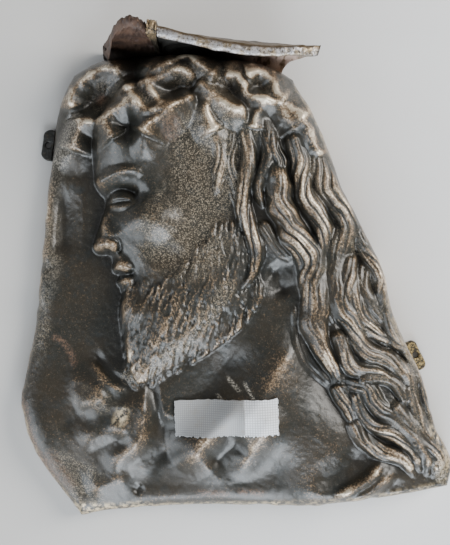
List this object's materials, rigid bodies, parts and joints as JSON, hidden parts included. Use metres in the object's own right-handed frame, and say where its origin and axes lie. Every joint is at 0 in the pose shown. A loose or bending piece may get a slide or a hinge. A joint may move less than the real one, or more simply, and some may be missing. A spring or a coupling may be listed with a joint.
{
  "type": "cast metal relief plaque",
  "caption": "Hollow-backed cast metal relief of a bearded head in profile under a thorn crown, with an upstanding top flange, edge lugs and a cloth tape label.",
  "frame": {"origin": "middle of the object's plan, at the level of the flat back rim", "axes": "+Z out of the relief, +Y towards the top of the head, +X to the viewer's right"},
  "size_m": [0.212, 0.2362, 0.0545],
  "materials": {
    "patinated_bronze": "dark patina with worn high points",
    "flange_bronze": "dark patina, bare metal on the lip",
    "bare_copper": "tarnished copper",
    "braze": "rough cast",
    "dark_lug": "dark patina",
    "brass_lug": "worn brass",
    "grey_tape": "woven cloth tape",
    "white_tape": "woven cloth tape"
  },
  "bodies": {
    "root": {"relief_casting": "patinated_bronze", "top_flange": "flange_bronze", "flange_curl": "bare_copper", "braze_bead": "braze", "left_lug": "dark_lug", "right_lug": "brass_lug", "tape_grey": "grey_tape", "tape_white": "white_tape"}
  },
  "joints": []
}
